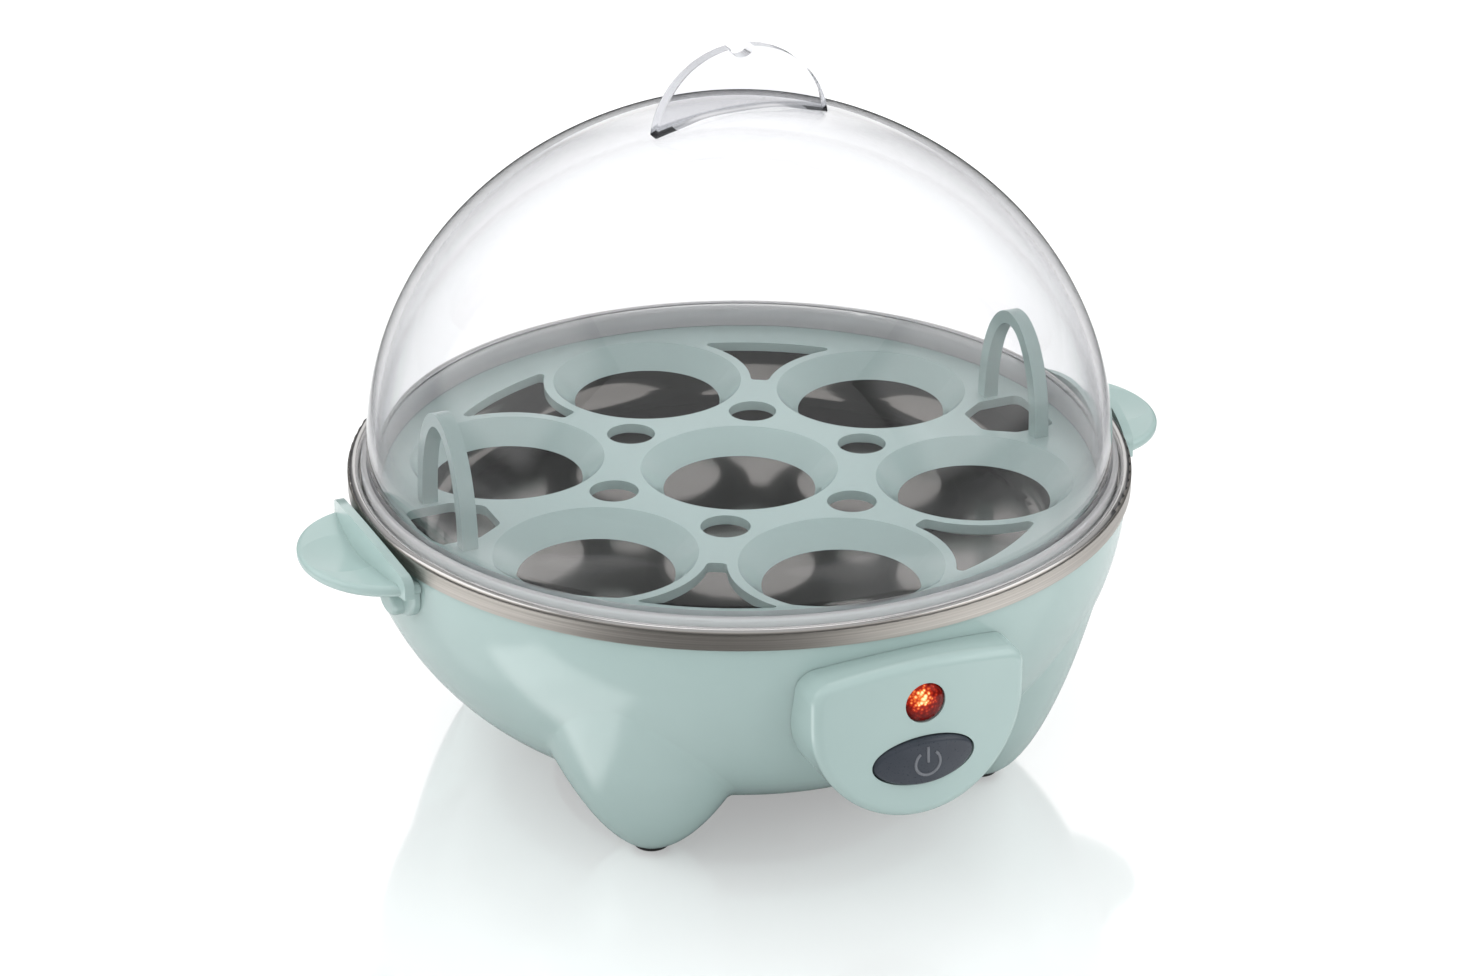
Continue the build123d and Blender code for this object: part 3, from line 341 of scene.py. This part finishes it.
def plain(name, dark, light, low, high, scale=900.0, **more):
    """A simple finish: two close colours and two roughnesses spread by noise, with fine bump."""
    t = material_tree(name)
    place = t.place()
    speck = t.noise(place, scale, 3.0)
    return t.principled(
        Base_Color=t.ramp(t.noise(place, scale / 6, 3.0), (0.3, dark), (0.7, light)),
        Roughness=t.grey_ramp(speck, (0.25, low), (0.75, high)),
        Normal=t.bump(speck, 0.25, 0.03 * MM),
        **more,
    )


def lens_red():
    """Red jewel, lit from behind by the lamp: brightest up and to the left, nearly black at its rim."""
    t = material_tree("lens_red")
    place = t.place()
    low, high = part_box("indicator_lens")
    middle = (low + high) / 2
    hot_spot = (middle.x - 1.2 * MM, low.y, middle.z + 1.6 * MM)
    away = t.vector_math("SUBTRACT", place, hot_spot).outputs[0]
    flat = t.vector_math("MULTIPLY", away, (1, 0, 1)).outputs[0]
    reach = t.vector_math("LENGTH", flat).outputs["Value"]
    cells = t.node("ShaderNodeTexVoronoi", {"Vector": place, "Scale": 1500.0}, feature="F1")
    sparkle = t.product(t.math("SUBTRACT", cells.outputs["Distance"], 0.42), 2.8 * MM)
    glow = t.ramp(
        t.math("DIVIDE", t.math("ADD", reach, sparkle), 5.6 * MM),
        (0.0, (1.0, 0.96, 0.70)), (0.16, (1.0, 0.80, 0.32)), (0.28, (0.80, 0.18, 0.035)),
        (0.42, (0.36, 0.022, 0.008)), (0.62, (0.10, 0.006, 0.003)), (0.86, (0.012, 0.001, 0.001)),
    )
    return t.principled(
        Base_Color=(0.10, 0.004, 0.003, 1), Roughness=0.08, IOR=1.25,
        Emission_Color=glow, Emission_Strength=1.15,
    )


made = {
    "mint_plastic": mint_plastic(),
    "clear_plastic": clear_plastic("clear_plastic", CLEAR_IOR, shade=foot_shade),
    "steel": plate_steel(),
    "dark_rubber": dark_rubber(),
    "button_grey": button_grey(),
    "lens_red": lens_red(),
    "neon_glass": plain(
        "neon_glass", (0.9, 0.5, 0.25), (1.0, 0.62, 0.35), 0.08, 0.16, Transmission_Weight=0.6,
    ),
    "silicone": plain("silicone", (0.52, 0.51, 0.48), (0.60, 0.59, 0.55), 0.42, 0.55),
    "aluminium": plain("aluminium", (0.66, 0.67, 0.68), (0.76, 0.77, 0.78), 0.3, 0.42, Metallic=1.0),
    "sheath_steel": plain("sheath_steel", (0.22, 0.21, 0.21), (0.36, 0.35, 0.35), 0.3, 0.46, Metallic=1.0),
    "brass": plain("brass", (0.60, 0.44, 0.18), (0.74, 0.58, 0.28), 0.25, 0.4, Metallic=1.0),
    "phenolic": plain("phenolic", (0.030, 0.024, 0.020), (0.05, 0.042, 0.036), 0.4, 0.55),
    "zinc_steel": plain("zinc_steel", (0.50, 0.51, 0.53), (0.66, 0.67, 0.69), 0.22, 0.36, Metallic=1.0),
    "cover_plastic": plain(
        "cover_plastic", (0.018, 0.018, 0.020), (0.03, 0.03, 0.033), 0.42, 0.58, scale=1500.0,
    ),
}


def dress(piece, material):
    piece.data.materials.clear()
    piece.data.materials.append(material)


for part in frame["record"]["subparts"]:
    dress(nodes[part["node"]], made[part["material_slot"]])
dress(nodes["lid_grip"], clear_plastic("clear_grip", GRIP_IOR, shade=seat_shade))


# ---------------------------------------------------------------- pieces made here
def link_mesh(name, bm):
    """New object from a bmesh, which is freed."""
    mesh = bpy.data.meshes.new(name)
    bm.to_mesh(mesh)
    bm.free()
    thing = bpy.data.objects.new(name, mesh)
    scene.collection.objects.link(thing)
    return thing


def mesh_piece(name, bm, body, slot, material=None, smooth=True):
    bm.normal_update()
    piece = link_mesh(name, bm)
    if smooth:
        piece.data.shade_smooth()
    else:
        piece.data.shade_flat()
    piece.data.materials.append(material or made[slot])
    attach(piece, body)
    return piece


def bridge(bm, first, second):
    """Quads between two closed rows of vertices of the same length."""
    count = len(first)
    for k in range(count):
        n = (k + 1) % count
        bm.faces.new((first[k], first[n], second[n], second[k]))


def revolved(name, outline, body, slot, replaced, steps=256):
    """Piece turned about Z from a closed outline of (radius, height) in millimetres."""
    bm = bmesh.new()
    rings = []
    for step in range(steps):
        angle = math.tau * step / steps
        rings.append([
            bm.verts.new((radius * math.cos(angle) * MM, radius * math.sin(angle) * MM, height * MM))
            for radius, height in outline
        ])
    for a, b in zip(rings, rings[1:] + rings[:1]):
        bridge(bm, a, b)
    bmesh.ops.remove_doubles(bm, verts=bm.verts, dist=0.001 * MM)
    bmesh.ops.recalc_face_normals(bm, faces=bm.faces)
    sharp = math.radians(30)
    for edge in bm.edges:
        edge.smooth = len(edge.link_faces) == 2 and edge.calc_face_angle() < sharp
    piece = mesh_piece(name, bm, body, slot)
    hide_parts(replaced)
    return piece


def wall_line(foot, full, base, inset, first):
    """One side of the dome's wall, from a height of first above the foot up to the crown."""
    points = []
    for step in range(DOME_STEPS + 1):
        turn = (step / DOME_STEPS) * math.pi / 2
        height = first + (full - first) * math.sin(turn)
        rise = (height + DOME_EQUATOR_DROP) / (full + DOME_EQUATOR_DROP)
        radius = (base - inset) * max(0.0, 1 - rise**DOME_TOP_POWER) ** (1 / DOME_SIDE_POWER)
        waist = WAIST_INSET * max(0.0, 1 - (height - COLLAR_HEIGHT) / WAIST_REACH) ** 2
        points.append((radius - waist, foot + height))
    return points


def lid_shell():
    """Clear dome with its flange and collar, on the CAD lid's own outline but finely divided."""
    low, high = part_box("lid_dome")
    outer, foot, top = high.x / MM, low.z / MM, high.z / MM
    shoulder = foot + COLLAR_HEIGHT
    low_rise = DOME_EQUATOR_DROP / (top - foot + DOME_EQUATOR_DROP)
    base = outer / (1 - low_rise**DOME_TOP_POWER) ** (1 / DOME_SIDE_POWER)
    outside = wall_line(foot, top - foot, base, 0.0, 0.0)
    outside = [point for point in outside if point[1] > shoulder + COLLAR_GAP]
    inside = wall_line(foot, top - foot - DOME_WALL, base, DOME_WALL, FLANGE_THICKNESS)
    collar = [(outer, foot)]
    for step in range(7):
        turn = math.radians(15 * step)
        collar.append((
            outer - COLLAR_ROUND * (1 - math.cos(turn)), shoulder - COLLAR_ROUND * (1 - math.sin(turn)),
        ))
    collar.append((outside[0][0] + COLLAR_STEP, shoulder))
    flange = [(FLANGE_INNER_RADIUS, foot), (FLANGE_INNER_RADIUS, foot + FLANGE_THICKNESS)]
    outline = flange + inside + (collar + outside)[::-1]
    shell = revolved("lid_shell", outline, "lid", "clear_plastic", "lid_dome")
    shell.data.materials.append(clear_plastic("clear_collar", CLEAR_IOR, clear=0.62))
    for face in shell.data.polygons:
        if face.center.z < (shoulder + COLLAR_MARGIN) * MM:
            face.material_index = 1


def power_mark():
    """Generic power sign moulded on the button: a raised open ring with a bar."""
    low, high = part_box("power_button")
    centre_z = (low.z + high.z) / 2
    bm = bmesh.new()
    edge_lift = MARK_PROUD * 0.55
    profile = [
        (-1.0, -MARK_SUNK), (-0.8, edge_lift), (-0.35, MARK_PROUD),
        (0.35, MARK_PROUD), (0.8, edge_lift), (1.0, -MARK_SUNK),
    ]

    def front(x, z):
        """Y of the button's domed front."""
        return low.y + BUTTON_DOME_RADIUS - math.sqrt(BUTTON_DOME_RADIUS * BUTTON_DOME_RADIUS - x * x - z * z)

    def strip(points, normals):
        rings = []
        for point, normal in zip(points, normals):
            ring = []
            for across, lift in profile:
                x, z = (point[k] + normal[k] * across * MARK_HALF_WIDTH for k in (0, 1))
                ring.append(bm.verts.new((x, front(x, z) - lift, centre_z + z)))
            rings.append(ring)
        for a, b in zip(rings, rings[1:]):
            bridge(bm, a, b)
        bm.faces.new(rings[0])
        bm.faces.new(reversed(rings[-1]))

    turns = [math.radians(90 + MARK_GAP / 2 + (360 - MARK_GAP) * k / 48) for k in range(49)]
    ring = [(math.cos(a), math.sin(a)) for a in turns]
    strip([(MARK_RADIUS * c, MARK_RADIUS * s) for c, s in ring], ring)
    heights = np.linspace(0.05, 1.30, 8) * MARK_RADIUS
    strip([(0.0, h) for h in heights], [(1.0, 0.0)] * len(heights))
    bmesh.ops.recalc_face_normals(bm, faces=bm.faces)
    mesh_piece("power_mark", bm, "button", "button_grey", mark_grey())


def lens_jewel():
    """Indicator lens with a faceted front, its flange and its sleeve."""
    low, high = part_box("indicator_lens")
    middle = (low + high) / 2
    bm = bmesh.new()
    count = JEWEL_FACETS

    def circle(size, back, turned):
        ring = []
        for step in range(count):
            turn = math.tau * (step + turned) / count
            ring.append(bm.verts.new((
                middle.x + size * math.cos(turn), low.y + back, middle.z + size * math.sin(turn),
            )))
        return ring

    # facets: share of the radius, and how far behind the tip in millimetres
    rows = [(0.24, 0.03), (0.47, 0.16), (0.68, 0.40), (0.86, 0.80), (0.975, 1.35)]
    tip = bm.verts.new((middle.x, low.y, middle.z))
    rings = [
        circle(JEWEL_RADIUS * share, back * MM, 0.5 * ((k + 1) % 2)) for k, (share, back) in enumerate(rows)
    ]
    for step in range(count):
        bm.faces.new((tip, rings[0][step], rings[0][(step + 1) % count]))
    for k, (a, b) in enumerate(zip(rings, rings[1:])):
        for step in range(count):
            n = (step + 1) % count
            if k % 2 == 0:
                bm.faces.new((a[step], b[step], b[n]))
                bm.faces.new((a[step], b[n], a[n]))
            else:
                bm.faces.new((a[step], b[step], a[n]))
                bm.faces.new((a[n], b[step], b[n]))
    # skirt, flange and sleeve behind the facets
    flange = (high.x - low.x) / 2
    behind = JEWEL_FLANGE_BACK + JEWEL_FLANGE_THICKNESS
    last = rings[-1]
    for size, back in (
        (JEWEL_RADIUS, JEWEL_SKIRT_BACK), (JEWEL_RADIUS, JEWEL_FLANGE_BACK), (flange, JEWEL_FLANGE_BACK),
        (flange, behind), (JEWEL_RADIUS, behind), (JEWEL_RADIUS, high.y - low.y),
    ):
        ring = circle(size, back, 0.5)
        bridge(bm, last, ring)
        last = ring
    bm.faces.new(last)
    bmesh.ops.recalc_face_normals(bm, faces=bm.faces)
    piece = mesh_piece("lens_jewel", bm, "base", "lens_red", smooth=False)
    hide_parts("indicator_lens")


lid_shell()
power_mark()
lens_jewel()


# ---------------------------------------------------------------- studio
def studio_axes(t, place):
    """Coordinates across and along the direction in which the camera looks, and the height."""
    x, y, z = t.split(place)
    right, ahead = 0.9114, 0.4115
    across = t.math("MULTIPLY_ADD", x, right, t.product(y, -ahead))
    along = t.math("MULTIPLY_ADD", x, ahead, t.product(y, right))
    return across, along, z


def near(t, value, middle, outer, inner):
    """1 within inner of a middle, 0 beyond outer."""
    return t.band(t.math("ABSOLUTE", t.math("SUBTRACT", value, middle)), outer, inner)


def backdrop():
    """White sheet that keeps the part's shadow and a faint mirror image.

    Reflections on the part see it only as a sheet of limited size with a painted shadow in front of the part
    and a painted contact shadow round it, and one bright patch that makes the light streak on the front left
    foot lobe. All else looks dark to them.
    """
    bm = bmesh.new()
    bmesh.ops.create_grid(bm, x_segments=8, y_segments=8, size=6.0)
    floor = link_mesh("studio_floor", bm)
    t = material_tree("studio_floor")
    across, along, z = studio_axes(t, t.place())
    ways = t.node("ShaderNodeLightPath").outputs
    glossy = ways["Is Glossy Ray"]
    middle = t.distance(across, along)

    side = t.math("ADD", t.math("ABSOLUTE", across), t.product(t.math("MAXIMUM", along, 0.0), 0.5))
    # reflections see the floor dark round this spot in front of the part: a painted shadow
    painted_shadow_spot = t.distance(t.math("ADD", across, 0.03), t.math("ADD", along, 0.26))
    sheet = t.product(t.band(side, 0.26, 0.20), t.band(along, -0.40, -0.30), t.band(painted_shadow_spot, 0.10, 0.18))
    shows = t.math("MAXIMUM", ways["Is Camera Ray"], ways["Is Transmission Ray"])
    shows = t.math("MAXIMUM", shows, t.product(glossy, sheet))

    floor_glow = 0.33
    # reflections see the floor's glow cut out close round the part: a painted contact shadow
    clear_of_painted_shadow = t.band(middle, 0.06, 0.16)
    glossy_glow = t.product(glossy, t.math("MULTIPLY_ADD", clear_of_painted_shadow, 0.50, -floor_glow))
    glow = t.math("MULTIPLY_ADD", ways["Is Camera Ray"], 0.17, t.math("ADD", glossy_glow, floor_glow))
    paper = t.shader("BsdfDiffuse", (0.66, 0.66, 0.66, 1))
    lit = t.add(paper, t.shader("Emission", WHITE, Strength=glow))
    white = t.shader("BsdfDiffuse", (0.84, 0.84, 0.84, 1))
    dark = t.shader("BsdfDiffuse", (0.05, 0.05, 0.05, 1))
    shown = t.mix(shows, t.mix(glossy, white, dark), lit)

    mirror = t.shader("BsdfGlossy", WHITE, Roughness=0.07)
    top = t.mix(t.product(t.band(middle, 0.30, 0.21), 0.34), shown, mirror)
    patch = t.product(near(t, across, -0.073, 0.036, 0.028), near(t, along, -0.080, 0.025, 0.016), glossy)
    t.surface(t.add(top, t.shader("Emission", WHITE, Strength=t.product(patch, 1.9))))
    floor.data.materials.append(t.owner)


def studio_world():
    """White for the camera and through the clear plastic, plain fill for diffuse light, and
    for reflections a dark room with a white wall behind the part and a grey ceiling."""
    world = bpy.data.worlds.new("studio")
    scene.world = world
    t = Tree(world, "ShaderNodeOutputWorld")
    ways = t.node("ShaderNodeLightPath").outputs
    across, along, z = studio_axes(t, t.node("ShaderNodeTexCoord").outputs["Generated"])
    side = t.math("DIVIDE", t.math("ABSOLUTE", across), t.math("MAXIMUM", along, 0.001))
    wall = t.band(side, 0.28, 0.17)
    ceiling = t.product(t.band(z, 0.20, 0.60), 0.55)
    room = t.ramp(t.math("MAXIMUM", wall, ceiling), (0.0, (0.10, 0.10, 0.105)), (1.0, (1.0, 1.0, 1.0)))
    fill = t.shader("Background", (0.98, 0.99, 1, 1), Strength=1.08)
    studio = t.shader("Background", room, Strength=1.0)
    # light that has met the rack under the dome gets more, as the softboxes can't be seen through it
    inside = t.math("GREATER_THAN", ways["Diffuse Depth"], 0.5)
    white = t.shader("Background", WHITE, Strength=t.math("MULTIPLY_ADD", inside, 0.55, 1.0))
    seen = t.math("MAXIMUM", ways["Is Camera Ray"], ways["Is Transmission Ray"])
    t.surface(t.mix(seen, t.mix(ways["Is Glossy Ray"], fill, studio), white))


def soft_card(name, position, aim_height, size, gloss, light, soft=0.35):
    """Softbox: a card that glows towards the part and fades at its edges.

    It has one strength for reflections (gloss) and one for all other light.
    """
    bm = bmesh.new()
    bmesh.ops.create_grid(bm, x_segments=1, y_segments=1, size=0.5)
    card = link_mesh(name, bm)
    card.location = position
    card.scale = (*size, 1)
    aim = Vector((0, 0, aim_height))
    card.rotation_euler = (aim - Vector(position)).to_track_quat("Z", "Y").to_euler()
    card.visible_camera = False
    card.visible_transmission = False
    card.visible_shadow = False
    t = material_tree(name)
    x, y, z = t.split(t.place())
    fade = t.product(near(t, x, 0.0, 0.5, 0.5 - soft / 2), near(t, y, 0.0, 0.5, 0.5 - soft / 2))
    front = t.math("SUBTRACT", 1.0, t.node("ShaderNodeNewGeometry").outputs["Backfacing"])
    glossy = t.node("ShaderNodeLightPath").outputs["Is Glossy Ray"]
    strength = t.math("MULTIPLY_ADD", glossy, gloss - light, light)
    t.surface(t.shader("Emission", WHITE, Strength=t.product(fade, front, strength)))
    card.data.materials.append(t.owner)


def camera():
    """Long lens, a little to the left of the panel and 25 degrees above the table."""
    level = math.cos(ELEVATION)
    back = Vector((math.sin(AZIMUTH) * level, -math.cos(AZIMUTH) * level, math.sin(ELEVATION)))
    right = Vector((math.cos(AZIMUTH), math.sin(AZIMUTH), 0))
    aim = Vector((0, 0, AIM_HEIGHT)) - right * AIM_LEFT
    data = bpy.data.cameras.new("camera")
    data.sensor_width = SENSOR
    data.lens = LENS
    data.clip_start = 0.05
    data.clip_end = 50
    thing = bpy.data.objects.new("camera", data)
    thing.location = aim + back * DISTANCE
    thing.rotation_euler = (-back).to_track_quat("-Z", "Y").to_euler()
    scene.collection.objects.link(thing)
    scene.camera = thing


backdrop()
studio_world()
soft_card("softbox_left", (-0.78, 0.30, 0.50), 0.06, (0.95, 0.85), gloss=1.5, light=3.0)
soft_card("softbox_right", (0.75, -0.50, 0.50), 0.06, (1.05, 0.85), gloss=1.5, light=2.4)
soft_card("softbox_above", (0.10, 0.25, 1.05), 0.05, (1.0, 0.8), gloss=2.2, light=3.2, soft=0.7)
camera()

scene.view_settings.view_transform = "Standard"
